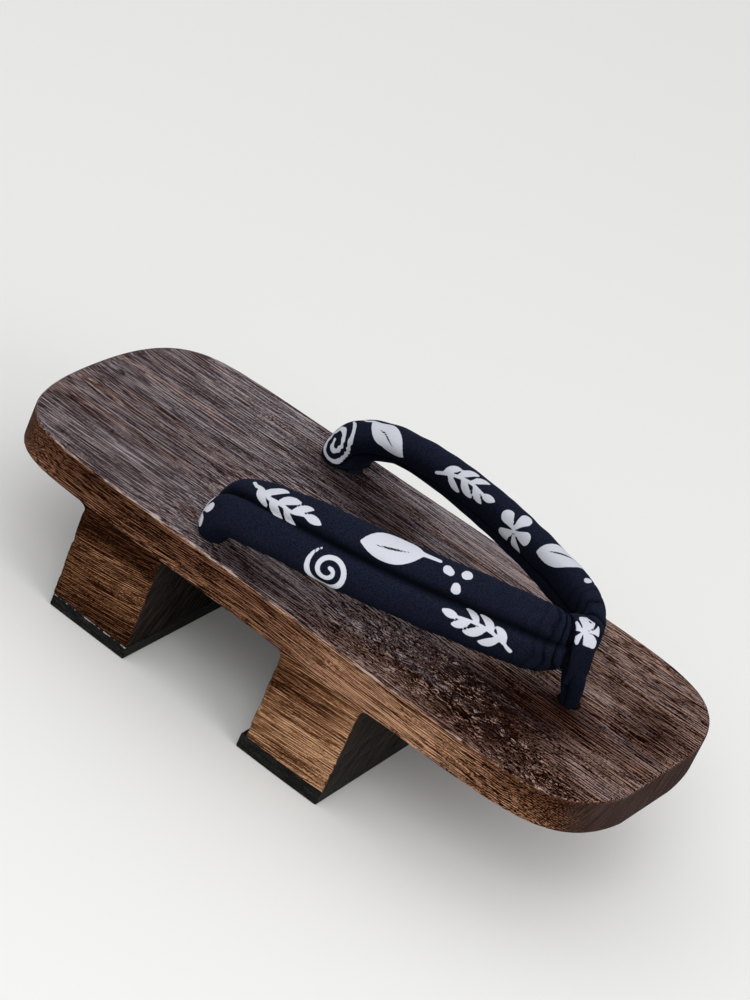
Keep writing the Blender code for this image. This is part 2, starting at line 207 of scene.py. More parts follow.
def add_node(tree, kind, settings=None, inputs=()):
    """Adds a node, sets its properties, and sets or links its inputs.

    Settings given as a word are its operation, and stops are a ramp's places and colours. Inputs given as
    a tuple go to its sockets in order. A node given as an input stands for its first output.
    """
    node = tree.nodes.new("ShaderNode" + kind)
    if isinstance(settings, str):
        settings = {"operation": settings}
    for key, value in (settings or {}).items():
        if key == "stops":
            ramp = node.color_ramp.elements
            ramp.remove(ramp[1])
            for i, (position, colour) in enumerate(value):
                element = ramp[0] if i == 0 else ramp.new(position)
                element.position = position
                element.color = (*linear(colour), 1.0)
        else:
            setattr(node, key, value)
    for key, value in inputs.items() if isinstance(inputs, dict) else enumerate(inputs):
        if isinstance(value, bpy.types.Node):
            value = value.outputs[0]
        if isinstance(value, bpy.types.NodeSocket):
            tree.links.new(value, node.inputs[key])
        else:
            node.inputs[key].default_value = value
    return node


def new_material(name):
    """A material with an empty tree, and the call that adds nodes to it."""
    material = bpy.data.materials.new(name)
    material.use_nodes = True
    material.node_tree.nodes.clear()
    return material, partial(add_node, material.node_tree)


def new_object(name, data):
    """A new object in the scene."""
    obj = bpy.data.objects.new(name, data)
    bpy.context.scene.collection.objects.link(obj)
    return obj


# Settings

class GetaWoodSettings(bpy.types.PropertyGroup):
    edge_round: FloatProperty(
        name="Edge round", description="Radius sanded onto the deck's long edges",
        default=0.0010, min=0.0003, max=0.003, unit="LENGTH")
    relief: FloatProperty(
        name="Brushed relief", description="Depth to which the wire brush took out the softer grain",
        default=0.00012, min=0.0, max=0.0005, unit="LENGTH")
    column_pitch: FloatProperty(
        name="Relief pitch", description="Spacing of the mesh lines that carry the relief across the deck",
        default=0.00042, min=0.0003, max=0.003, unit="LENGTH")


class GetaClothSettings(bpy.types.PropertyGroup):
    ground: FloatVectorProperty(
        name="Ground", description="Dyed colour of the cotton", subtype="COLOR", size=3,
        default=linear("#10131e"), min=0, max=1)
    print_colour: FloatVectorProperty(
        name="Print", description="Colour of the printed motifs", subtype="COLOR", size=3,
        default=linear("#d2d5df"), min=0, max=1)
    thread_pitch: FloatProperty(
        name="Thread pitch", description="Spacing of the threads as drawn",
        default=0.0006, min=0.0002, max=0.002, unit="LENGTH")


class GetaStageSettings(bpy.types.PropertyGroup):
    floor_colour: FloatVectorProperty(
        name="Floor", description="Colour of the pale floor", subtype="COLOR", size=3,
        default=linear("#ededec"), min=0, max=1)
    floor_size: FloatProperty(
        name="Floor size", description="Side of the square floor", default=12.0, min=1.0, unit="LENGTH")


class GetaSettings(bpy.types.PropertyGroup):
    wood: PointerProperty(type=GetaWoodSettings)
    cloth: PointerProperty(type=GetaClothSettings)
    stage: PointerProperty(type=GetaStageSettings)


# Mesh helpers

def circle(count):
    """Angles evenly spaced around a full turn."""
    return np.linspace(0, 2 * pi, count, endpoint=False)


def run_along(points):
    """Distance run from the first of the points to each."""
    return np.concatenate(([0], np.cumsum(np.linalg.norm(np.diff(points, axis=0), axis=1))))


def smooth_rows(rows, steps):
    """Rows between the given ones on a Catmull-Rom curve."""
    table = np.array(rows, float)
    first = 2 * table[0] - table[1]
    last = 2 * table[-1] - table[-2]
    padded = np.vstack((first, table, last))
    result = []
    for k in range(1, len(padded) - 2):
        a, b, c, d = padded[k - 1:k + 3]
        for t in np.arange(steps) / steps:
            result.append(0.5 * (2 * b + (c - a) * t + (2 * a - 5 * b + 4 * c - d) * t ** 2
                                 + (3 * b - a - 3 * c + d) * t ** 3))
    result.append(table[-1])
    return np.array(result)


def lay_rings(built, rings):
    """Faces between rings of points, with a flat face at each end. Returns the rings of vertices."""
    layers = [[built.verts.new(point) for point in ring] for ring in rings]
    for near, far in zip(layers, layers[1:]):
        for i in range(len(near)):
            j = (i + 1) % len(near)
            built.faces.new((near[i], near[j], far[j], far[i]))
    built.faces.new(list(reversed(layers[0])))
    built.faces.new(layers[-1])
    return layers


def finish_mesh(name, built):
    """A smooth mesh from what was built, its faces turned outward."""
    bmesh.ops.recalc_face_normals(built, faces=built.faces)
    mesh = bpy.data.meshes.new(name)
    built.to_mesh(mesh)
    built.free()
    mesh.shade_smooth()
    return mesh


def place(name, mesh, material, slot_name, *nodes):
    """Puts a mesh on the frame in place of the given solid nodes."""
    obj = new_object(name, mesh)
    mesh.materials.clear()
    mesh.materials.append(material)
    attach(obj, BODY)
    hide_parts(*nodes)
    return obj


def store(mesh, name, values, kind="FLOAT"):
    """Keeps one value per vertex on the mesh for its material to read."""
    values = np.asarray(values, np.float32)
    attribute = mesh.attributes.new(name, kind, "POINT")
    attribute.data.foreach_set("vector" if kind == "FLOAT_VECTOR" else "value", values.ravel())


def points_of(mesh):
    """The mesh's points as rows of x, y and z."""
    points = np.zeros(len(mesh.vertices) * 3, np.float32)
    mesh.vertices.foreach_get("co", points)
    return points.reshape(-1, 3).astype(float)


# Wood

def half_width(y):
    """Half width of the deck at y."""
    share = min(abs(2 * y / LENGTH), 1.0)
    end_power, side_power = TOE_SQUARENESS if y < 0 else HEEL_SQUARENESS
    run = max(0, (y - TAPER_START_Y) / (LENGTH / 2 - TAPER_START_Y))
    hollow = SIDE_HOLLOW * min(run / SIDE_HOLLOW_RUN, 1)
    taper = (WIDTH / 2 - SIDE_HOLLOW - HEEL_WIDTH / 2) * run ** TAPER_POWER
    return (WIDTH / 2 - hollow - taper) * (1 - share ** end_power) ** (1 / side_power)


OUTLINE_SAMPLES = 700
OUTLINE_POINTS = 460


def deck_outline():
    """Evenly spaced points around the deck, before the toe is cut off flat."""
    angles = np.linspace(-pi / 2, pi / 2, OUTLINE_SAMPLES)
    right = [(-half_width(LENGTH / 2 * sin(a)), LENGTH / 2 * sin(a)) for a in angles]
    left = [(-x, y) for x, y in reversed(right[1:-1])]
    loop = np.array(right + left + right[:1])
    run = run_along(loop)
    places = np.linspace(0, run[-1], OUTLINE_POINTS, endpoint=False)
    return np.column_stack([np.interp(places, run, loop[:, k]) for k in (0, 1)])


def toe_cut(x, z):
    """Where the flat cut across the toe stands at x and height z."""
    return TOE_CUT_Y - x * tan(TOE_CUT_SKEW) + (z - HEIGHT) * tan(TOE_CUT_LEAN) / cos(TOE_CUT_SKEW)


def deck_ring(outline, z, inset):
    """The outline at height z, drawn in by inset, a number or one for each point."""
    x = outline[:, 0] * (1 - inset / (WIDTH / 2))
    y = outline[:, 1] * (1 - inset / (LENGTH / 2))
    y = np.maximum(y, toe_cut(x, z) + inset)
    return np.column_stack((x, y, np.full(len(x), z)))


GRAIN_WIDTH = 0.0006
GRAIN_RUN = 0.014
BROAD_GRAIN = 3
BROAD_SHARE = 0.5
SWAY_SIZE = 0.06
SWAY_LINES = 1.6
# Where the brush starts to bite and how fast, in shares of the relief
BRUSH_START = 0.5
BRUSH_GAIN = 1.2


def grain(point, tilt=0.0):
    """Grain along the wood's length at a point, from furrow to crest about -1 to 1."""
    x, y, z = point
    y, z = y * cos(tilt) - z * sin(tilt), y * sin(tilt) + z * cos(tilt)
    sway = SWAY_LINES * noise.noise(Vector((x, y, z)) / SWAY_SIZE)
    fine, broad = (
        noise.noise(Vector((x / (k * GRAIN_WIDTH) + sway, y / (k * GRAIN_RUN), z / (k * GRAIN_WIDTH))))
        for k in (1, BROAD_GRAIN))
    return BROAD_SHARE * broad + fine


def brushed(point, tilt=0.0):
    """How deep the brush went at a point, as a share of the relief."""
    return max(0.0, BRUSH_START + BRUSH_GAIN * grain(point, tilt))


WELD_DISTANCE = 1e-7


def cut_strips(built, faces, axis, cuts):
    """Cuts flat faces into strips at the given places along an axis. Returns all the strips."""
    normal = Vector((0, 0, 0))
    normal[axis] = 1
    todo, done = list(faces), []
    for cut in cuts:
        geometry = list({v for f in todo for v in f.verts} | {e for f in todo for e in f.edges}) + todo
        origin = Vector((0, 0, 0))
        origin[axis] = cut
        result = bmesh.ops.bisect_plane(
            built, geom=geometry, plane_co=origin, plane_no=normal, dist=WELD_DISTANCE)
        found = [g for g in result["geom"] if isinstance(g, bmesh.types.BMFace)]
        todo = [f for f in found if f.calc_center_median()[axis] > cut]
        done += [f for f in found if f.calc_center_median()[axis] <= cut]
    return done + todo


DECK_SHARP = radians(40)
ROUND_STEPS = 6
LOW_ROUND = 0.0003
SIDE_PITCH = 0.0006
ROW_PITCH = 0.0035
# The relief on the sides dies out around the ends, from this share of the half width inward
SIDE_RELIEF_FROM = 0.8
SIDE_RELIEF_POWER = 6


def make_deck_mesh(settings):
    """The deck with sanded edges and its brushed grain in relief, before its holes are bored."""
    outline = deck_outline()
    radius = settings.edge_round
    turns = np.linspace(0, pi / 2, ROUND_STEPS + 1)
    levels = [(DECK_LOW + LOW_ROUND * (1 - sin(t)), LOW_ROUND * (1 - cos(t))) for t in turns[::-2]]
    side = np.arange(DECK_LOW + LOW_ROUND + SIDE_PITCH, HEIGHT - radius - SIDE_PITCH / 2, SIDE_PITCH)
    levels += [(z, 0.0) for z in side]
    levels += [(HEIGHT - radius * (1 - sin(t)), radius * (1 - cos(t))) for t in turns]
    along = np.clip(np.abs(outline[:, 0]) / (SIDE_RELIEF_FROM * WIDTH / 2), 0, 1) ** SIDE_RELIEF_POWER
    rings = []
    for z, inset in levels:
        depth = np.array([settings.relief * (BRUSH_START + grain(p)) for p in deck_ring(outline, z, inset)])
        rings.append(deck_ring(outline, z, inset + np.clip(depth * along, 0, None)))
    built = bmesh.new()
    layers = lay_rings(built, rings)
    built.faces.ensure_lookup_table()
    columns = np.arange(-WIDTH / 2 + settings.column_pitch, WIDTH / 2, settings.column_pitch)
    rows = np.arange(-LENGTH / 2 + ROW_PITCH, LENGTH / 2, ROW_PITCH)
    cells = cut_strips(built, cut_strips(built, [built.faces[-1]], 0, columns), 1, rows)
    for vert in {v for f in cells for v in f.verts} - set(layers[-1]):
        vert.co.z -= settings.relief * brushed(vert.co)
    return finish_mesh("charred_deck", built)


BORE_SEGMENTS = 48
BORE_SPARE = 0.002


def bore(mesh):
    """Bores the cord holes and the recesses under them out of the deck's mesh."""
    cutters = bmesh.new()
    for x, y in (TOE_HOLE, RIGHT_HOLE, LEFT_HOLE):
        for radius, low, high in ((HOLE_RADIUS, RECESS_TOP - BORE_SPARE / 2, HEIGHT + BORE_SPARE),
                                  (RECESS_RADIUS, DECK_LOW - BORE_SPARE, RECESS_TOP)):
            bmesh.ops.create_cone(
                cutters, cap_ends=True, segments=BORE_SEGMENTS, radius1=radius, radius2=radius,
                depth=high - low, matrix=Matrix.Translation((x, y, (low + high) / 2)))
    cutter_mesh = bpy.data.meshes.new("borer")
    cutters.to_mesh(cutter_mesh)
    cutters.free()
    cutter = new_object("borer", cutter_mesh)
    deck = new_object("deck_blank", mesh)
    modifier = deck.modifiers.new("Bore", "BOOLEAN")
    modifier.operation = "DIFFERENCE"
    modifier.object = cutter
    modifier.solver = "EXACT"
    modifier.use_self = True
    graph = bpy.context.evaluated_depsgraph_get()
    bored = bpy.data.meshes.new_from_object(deck.evaluated_get(graph))
    bpy.data.objects.remove(deck)
    bpy.data.objects.remove(cutter)
    return bored


RING_MM = 1.3
SIDE_GRAIN = 0.54
SAW_CLIMB = radians(53)
BARE_WOOD = "#b3a298"


def charred_wood(name, top_tones, side_tones, sawn_tones, sawn_from, contrast, tilt=0.0):
    """Paulownia, burnt and wire-brushed along the grain.

    Burning darkens the soft early wood most and the brush takes its ash out, which leaves pale hard lines
    between dark furrows. The surface is matt, with a faint gloss on the hard lines.
    """
    material, add = new_material(name)
    place_mm = add("VectorMath", "SCALE", {0: add("TexCoord").outputs["Object"], "Scale": 1 / MM})
    along = add("VectorRotate", {"rotation_type": "X_AXIS"}, {"Vector": place_mm, "Angle": tilt})
    normal = add("SeparateXYZ", None, (add("NewGeometry").outputs["True Normal"],)).outputs
    figure, shift, warmth, worn = (
        add("Attribute", {"attribute_name": key}).outputs["Fac"]
        for key in ("figure", "shift", "warmth", "worn"))

    # The grain sways a little over 90 mm, and swirls over 2.4 mm where the rings run with the cut.
    # Its lines are staggered lengthwise
    sway = add("TexNoise", None, {"Vector": along, "Scale": 1 / 90, "Detail": 0.0}).outputs["Color"]
    swirl = add("TexNoise", None, {"Vector": along, "Scale": 1 / 2.4, "Detail": 1.0}).outputs["Color"]
    swirl_mm = add("Math", "MULTIPLY_ADD", (figure, 3.2, 0.10))
    bent = add("VectorMath", "MULTIPLY_ADD", (sway, (8.0, 0.0, 8.0), along))
    bent = add("VectorMath", "ADD", (bent, add("VectorMath", "SCALE", {0: swirl, "Scale": swirl_mm})))
    stagger = add("VectorMath", "MULTIPLY", (bent, (1 / 1.5, 1 / 200, 1 / 1.5)))
    stagger = add("TexNoise", None, {"Vector": stagger, "Scale": 1.0, "Detail": 0.0}).outputs["Color"]
    run = add("VectorMath", "MULTIPLY_ADD", (stagger, (0.0, 70.0, 0.0), bent))
    curl = add("TexNoise", None, {"Vector": along, "Scale": 1 / 7, "Detail": 2.0})
    curled = add("VectorMath", "MULTIPLY_ADD", (curl.outputs["Color"], (7.0, 7.0, 0.0), along))
    saw_turned = add("VectorRotate", {"rotation_type": "Y_AXIS"}, {"Vector": bent, "Angle": SAW_CLIMB})

    # The wood's noises: what each follows, its size in mm across, along and up, its detail
    noises = {}
    for key, source, size_mm, detail in (
            ("drift", bent, (5, 120, 5), 1),
            ("fade", run, (1.7, 18, 1.7), 0),
            ("lines", run, (0.44, 22, SIDE_GRAIN * 0.44), 0),
            ("fine_lines", run, (0.34, 7, SIDE_GRAIN * 0.34), 0),
            ("pores", bent, (0.32, 0.8, SIDE_GRAIN * 0.32), 0),
            ("patches", bent, (15, 60, SIDE_GRAIN * 15), 1),
            ("bands", run, (2.6, 50, SIDE_GRAIN * 2.6), 1),
            ("wisps", curled, (0.6, 4, 0.6), 0),
            ("tint", run, (5, 70, 5), 2),
            ("flecks", bent, (0.6, 4, 0.6), 2),
            ("saw", saw_turned, (12, 6, 0.55), 2)):
        drawn = add("VectorMath", "MULTIPLY", (source, tuple(1 / mm for mm in size_mm)))
        noises[key] = add("TexNoise", None, {"Vector": drawn, "Scale": 1.0, "Detail": detail})

    # Furrows 1.3 mm apart on the top and 0.7 mm on the sides, coarser than the real ones so that they show.
    # They drift in spacing, fade and come back, with finer lines and short pores between them
    spacing = (1 / RING_MM, 0.0, 1 / (SIDE_GRAIN * RING_MM))
    count = add("VectorMath", "DOT_PRODUCT", (bent, spacing)).outputs["Value"]
    count = add("Math", "MULTIPLY_ADD", (noises["drift"], 2.4, count))
    furrow = add("Math", "SINE", (add("Math", "MULTIPLY", (count, 2 * pi)),))
    depth = add("MapRange", None, (noises["fade"], 0.35, 0.65, 0.01, 0.11))
    lines = add("Math", "MULTIPLY", (furrow, depth))
    for key, share in (("lines", 0.40), ("fine_lines", 0.33), ("pores", 0.28)):
        lines = add("Math", "MULTIPLY_ADD", (noises[key], share, lines))
    # They stand out less toward the ends, and more where the wood is figured, warm or off its usual tone
    ending = add("Math", "ABSOLUTE", (normal[1],))
    keep = add("MapRange", None, (ending, 0.25, 0.85, contrast, 0.50 * contrast))
    for value, share in ((figure, 0.4), (warmth, 0.3), (add("Math", "ABSOLUTE", (shift,)), 1.3)):
        keep = add("Math", "MULTIPLY", (keep, add("Math", "MULTIPLY_ADD", (value, share, 1.0))))
    lines = add("Math", "SUBTRACT", (lines, 0.5))
    height = add("Math", {"operation": "MULTIPLY_ADD", "use_clamp": True}, (lines, keep, 0.5))

    # Broad tone: patches some 15 mm across and bands some 2.6 mm across, both long along the wood
    level = add("Math", "ADD", (height, shift))
    for key, span in (("patches", 0.45), ("bands", 0.20)):
        level = add("Math", "MULTIPLY_ADD", (add("Math", "SUBTRACT", (noises[key], 0.5)), span, level))
    # Where the rings run with the cut, the hard lines break into wisps some 4 mm long over a dark ground
    figure = add("Math", "MULTIPLY", (figure, add("MapRange", None, (curl, 0.38, 0.58, 0.35, 1.25))))
    wisp = add("MapRange", None, (noises["wisps"], 0.48, 0.66, -0.20, 0.78))
    level = add("Math", "MULTIPLY_ADD", (wisp, figure, level))

    grey, brown, side = (add("ValToRGB", {"stops": tones}, (level,)) for tones in (*top_tones, side_tones))
    tint = add("Math", "MULTIPLY_ADD", (noises["tint"], 2.6, -1.36))
    warmth = add("Math", {"operation": "ADD", "use_clamp": True}, (warmth, tint))
    is_side = add("MapRange", None, (add("Math", "ABSOLUTE", (normal[2],)), 0.75, 0.45))
    # The edge is worn to bare pale wood in short flecks
    fleck = add("Math", "MULTIPLY", (noises["flecks"], worn))
    bare = add("MapRange", None, (fleck, 0.43, 0.58, 0.0, 0.85))
    # Faces sawn across the grain aren't brushed: duller and greyer, with faint saw arcs that climb
    sawn = add("ValToRGB", {"stops": sawn_tones}, (noises["saw"],))
    is_sawn = add("MapRange", None, (ending, *sawn_from))
    colour = grey
    bare_wood = (*linear(BARE_WOOD), 1)
    for share, over in ((warmth, brown), (is_side, side), (bare, bare_wood), (is_sawn, sawn)):
        colour = add("Mix", {"data_type": "RGBA"}, {0: share, 6: colour, 7: over}).outputs[2]

    bump = add("Bump", None, {"Strength": 0.5, "Distance": 0.00014, "Height": height})
    shader = add("BsdfPrincipled", None, {
        "Base Color": colour, "Normal": bump, "IOR": 1.5,
        "Roughness": add("MapRange", None, (height, 0.0, 1.0, 0.85, 0.60)),
        "Specular IOR Level": add("MapRange", None, (level, 0.25, 0.90, 0.0, 0.05))})
    add("OutputMaterial", None, (shader,))
    return material


GREY_TONES = ((0.00, "#1e1414"), (0.25, "#392f32"), (0.50, "#54494d"), (0.75, "#73686c"), (1.0, "#9f9599"))
BROWN_TONES = ((0.00, "#110502"), (0.25, "#2b1811"), (0.50, "#4b332b"), (0.75, "#74584d"), (1.0, "#ac8e80"))
SIDE_TONES = ((0.00, "#150803"), (0.25, "#301b11"), (0.50, "#503325"), (0.75, "#7b553e"), (1.0, "#be9373"))
TOOTH_TONES = ((0.00, "#170a05"), (0.25, "#331c12"), (0.50, "#543520"), (0.75, "#835c3f"), (1.0, "#c39a77"))
# The toe's cut, burnt nearly black, and the teeth's faces across the grain, burnt and painted with shade to
# nearly black
CUT_TONES = ((0.30, "#291d1a"), (0.50, "#382b27"), (0.70, "#483a36"))
FRONT_SHADED_TONES = ((0.32, "#120f0e"), (0.50, "#231e1c"), (0.68, "#3c3532"))
# How far a face turns to the end of the wood where it starts to look sawn, and where it wholly does
CUT_SAWN_FROM = (0.60, 0.98)
FRONT_SAWN_FROM = (0.66, 0.80)
DECK_CONTRAST = 3.6
TOOTH_CONTRAST = 2.9

# Soft oval spots on the deck: x, y, reach across and along, amount, which darkens, and lightens below
# nothing.
# Most of those that darken, around the arms, the stem's foot and the toe hole, are painted shade; the rest
# are tone
SHADE_AND_TONE_SPOTS = (
    (-0.034, -0.048, 0.024, 0.058, 0.38),
    (-0.020, -0.076, 0.028, 0.032, 0.62),
    (-0.005, -0.084, 0.014, 0.014, 0.35),
    (-0.047, -0.068, 0.018, 0.034, 0.36),
    (-0.050, 0.023, 0.012, 0.024, 0.45),
    (-0.051, -0.012, 0.012, 0.044, 0.13),
    (0.034, 0.036, 0.018, 0.030, 0.42),
    (0.022, 0.014, 0.022, 0.036, 0.40),
    (0.051, -0.026, 0.020, 0.064, -0.34),
    (0.044, -0.090, 0.022, 0.034, -0.10),
    (0.042, 0.060, 0.026, 0.026, -0.18),
    (-0.050, -0.108, 0.018, 0.022, 0.16),
    (0.008, -0.107, 0.026, 0.022, 0.32),
    (-0.049, -0.090, 0.017, 0.028, 0.26),
    (-0.024, -0.055, 0.014, 0.018, 0.28),
    (-0.040, -0.020, 0.022, 0.040, 0.14),
    (0.038, 0.006, 0.015, 0.020, 0.16),
    (-0.032, 0.088, 0.018, 0.022, -0.16),
    (0.036, 0.088, 0.016, 0.022, -0.22),
    (-0.012, 0.080, 0.010, 0.024, 0.14),
)
WARM_SPOTS = ((-0.052, -0.050, 0.022, 0.080, 0.45),)
# Here the rings run with the cut
FIGURE_SPOTS = ((-0.036, -0.052, 0.024, 0.056, 1.4), (-0.051, -0.092, 0.016, 0.030, 0.8))
# Tone of the deck along its length: y, shift up or down the ramps on the sides and on the top, warmth
TONE_ROWS = (
    (-0.1225, -0.50, -0.05, 1.00),
    (-0.1195, -0.46, -0.05, 1.00),
    (-0.1120, -0.32, -0.08, 1.00),
    (-0.1000, -0.27, -0.10, 1.00),
    (-0.0850, -0.20, -0.06, 0.95),
    (-0.0720, -0.02, -0.04, 0.93),
    (-0.0600, 0.15, -0.02, 0.90),
    (-0.0300, 0.06, -0.01, 0.55),
    (-0.0100, -0.22, -0.01, 0.35),
    (0.0100, -0.25, 0.00, 0.25),
    (0.0400, -0.25, -0.02, 0.15),
    (0.0850, -0.30, -0.055, 0.15),
    (0.1225, -0.08, -0.05, 0.30),
)
SIDE_FALL = 0.24
# Wear of the deck's edge: its reach, its strength, its growth from the toe on, its share on the left
WORN_REACH = 0.0016
WORN_FULL = 1.25
WORN_BY_Y = ((-0.105, -0.080), (0.9, 1.05))
WORN_ON_LEFT = 0.8
# The wear comes and goes along the edge: over what length, its middle and its reach up and down
FLICKER_SIZE = 0.012
FLICKER_MIDDLE = 0.9
FLICKER_REACH = 0.7
# The side's looks end this far below the top, and change into the top's over this height
SIDE_END = 0.0015
SIDE_BLEND = 0.0010
# Share of the figure that carries on down the side
SIDE_FIGURE = 0.15


def spots(points, rows):
    """Sum of soft oval spots on the deck."""
    total = np.zeros(len(points))
    for x, y, reach_x, reach_y, amount in rows:
        share = np.clip(1 - np.hypot((points[:, 0] - x) / reach_x, (points[:, 1] - y) / reach_y), 0, 1)
        total += amount * share ** 2 * (3 - 2 * share)
    return total


def finish_deck(mesh, material):
    """Keeps the tones with their painted shade, the wear and the figure of the deck on its mesh, and puts
    it on the frame.
    """
    points = points_of(mesh)
    x, y, z = points.T
    table = np.array(TONE_ROWS)
    side_shift, top_shift, warmth = (np.interp(y, table[:, 0], table[:, k]) for k in (1, 2, 3))
    upness = np.clip((z - HEIGHT + SIDE_END) / SIDE_BLEND, 0, 1)
    rim = deck_ring(deck_outline(), HEIGHT, 0.0)[:, :2]
    away = np.array([np.sqrt(((rim - p[:2]) ** 2).sum(1).min()) for p in points])
    flicker = [FLICKER_MIDDLE + FLICKER_REACH * noise.noise(Vector(p) / FLICKER_SIZE) for p in points]
    worn = np.clip(WORN_FULL - away / WORN_REACH, 0, 1) * upness * np.clip(flicker, 0, 1)
    worn *= np.interp(y, *WORN_BY_Y) * np.where(x > 0, WORN_ON_LEFT, 1.0)
    side_shift += SIDE_FALL * (0.5 - (z - DECK_LOW) / (HEIGHT - DECK_LOW))
    figure = np.clip(spots(points, FIGURE_SPOTS), 0, 1) * (SIDE_FIGURE + (1 - SIDE_FIGURE) * upness)
    # The top's shift takes off the spots, painted shade near the strap among them
    for name, values in (
            ("shift", upness * (top_shift - spots(points, SHADE_AND_TONE_SPOTS)) + (1 - upness) * side_shift),
            ("worn", worn),
            ("warmth", warmth + spots(points, WARM_SPOTS)),
            ("figure", figure)):
        store(mesh, name, values)
    mesh.set_sharp_from_angle(angle=DECK_SHARP)
    return place("charred_deck", mesh, material, "charred_wood", "deck")


class GETA_OT_deck(bpy.types.Operator):
    """Builds the charred and brushed deck"""
    bl_idname = "geta.make_deck"
    bl_label = "Deck"

    def execute(self, context):
        wood = charred_wood(
            "burnt_brushed_paulownia", (GREY_TONES, BROWN_TONES), SIDE_TONES, CUT_TONES, CUT_SAWN_FROM,
            DECK_CONTRAST)
        finish_deck(bore(make_deck_mesh(context.scene.geta.wood)), wood)
        return {"FINISHED"}


TOOTH_TILT = radians(5.0)
TOOTH_CORNER = 0.0006
TOOTH_CORNER_POINTS = 4
CHIP_SIZE = 0.0035
CHIP_DEPTH = 0.0007
TOOTH_LEVEL_PITCH = 0.0006
TOOTH_SIDE_STEPS = 12
TOOTH_FACE_STEPS = 40
TOOTH_SHARP = radians(50)
# Tone of the teeth's sides: height, shift up or down the ramp of the front tooth and of the rear one
TOOTH_TONE_ROWS = (
    (0.005, 0.25, -0.42),
    (0.012, 0.27, -0.38),
    (0.019, 0.27, -0.20),
    (0.025, 0.13, -0.15),
    (0.030, 0.05, -0.28),
    (0.034, 0.04, -0.62),
    (0.041, 0.13, -0.56),
)


def make_tooth_mesh(row, relief):
    """A tooth seated against the deck, with a cove at the top, its grain in relief on the two sides."""
    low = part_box(row["name"] + "_tread")[1].z
    top = DECK_LOW
    turns = np.linspace(0, pi / 2, TOOTH_CORNER_POINTS)
    corner = [(TOOTH_CORNER * (1 - sin(t)), TOOTH_CORNER * (1 - cos(t))) for t in turns]
    xs = np.linspace(-1, 1, TOOTH_FACE_STEPS + 1)[1:-1]
    rings = []
    for z in np.append(np.arange(low, top - TOOTH_LEVEL_PITCH / 2, TOOTH_LEVEL_PITCH), top):
        share = (z - low) / (top - low)
        below = min(top - z, COVE_RADIUS)
        cove = COVE_RADIUS - np.sqrt(COVE_RADIUS ** 2 - (COVE_RADIUS - below) ** 2)
        ends = []
        for side, outward in (("front", -1), ("back", 1)):
            low_y, top_y = row[side + "_low_y"], row[side + "_top_y"]
            y = low_y + share * (top_y - low_y) + outward * cove
            ends.append(y - outward * CHIP_DEPTH * max(0.0, noise.noise(Vector((0, y, z)) / CHIP_SIZE)))
        front, back = ends
        ys = np.linspace(front + TOOTH_CORNER, back - TOOTH_CORNER, TOOTH_SIDE_STEPS)
        edge = [(inset, front + off) for off, inset in reversed(corner)]
        edge += [(0.0, y) for y in ys[1:-1]]
        edge += [(inset, back - off) for off, inset in corner]
        right = []
        for inset, y in edge:
            x = half_width(y) - inset
            right.append((x - relief * brushed((-x, y, z), TOOTH_TILT), y))
        ring = [(-x, y) for x, y in right]
        ring += [(share_x * right[-1][0], right[-1][1]) for share_x in xs]
        ring += [(x, y) for x, y in reversed(right)]
        ring += [(-share_x * right[0][0], right[0][1]) for share_x in xs]
        rings.append([(x, y, z) for x, y in ring])
    built = bmesh.new()
    lay_rings(built, rings)
    return finish_mesh(row["name"] + "_tooth_block", built)


class GETA_OT_teeth(bpy.types.Operator):
    """Builds the two sawn, burnt and brushed teeth"""
    bl_idname = "geta.make_teeth"
    bl_label = "Teeth"

    def execute(self, context):
        # The teeth's faces across the grain take the front tones, dark with painted shade
        wood = charred_wood(
            "burnt_sawn_paulownia_with_painted_shade", (TOOTH_TONES, TOOTH_TONES), TOOTH_TONES, FRONT_SHADED_TONES, FRONT_SAWN_FROM,
            TOOTH_CONTRAST, TOOTH_TILT)
        tones = np.array(TOOTH_TONE_ROWS)
        for column, values in enumerate(TOOTH_ROWS, 1):
            row = dict(zip(TOOTH_COLUMNS, values))
            mesh = make_tooth_mesh(row, context.scene.geta.wood.relief)
            points = points_of(mesh)
            back_share = (points[:, 1] - row["front_top_y"]) / (row["back_top_y"] - row["front_top_y"])
            shift = np.interp(points[:, 2], tones[:, 0], tones[:, column]) - row["darkening"] * back_share
            store(mesh, "shift", shift)
            mesh.set_sharp_from_angle(angle=TOOTH_SHARP)
            place(mesh.name, mesh, wood, "charred_wood", row["name"] + "_tooth")
        return {"FINISHED"}


DRIED_GLUE = "#9a948c"
# How much glue squeezed out on each tread's side
GLUE = {"front_tread": 0.25, "rear_tread": 1.12}


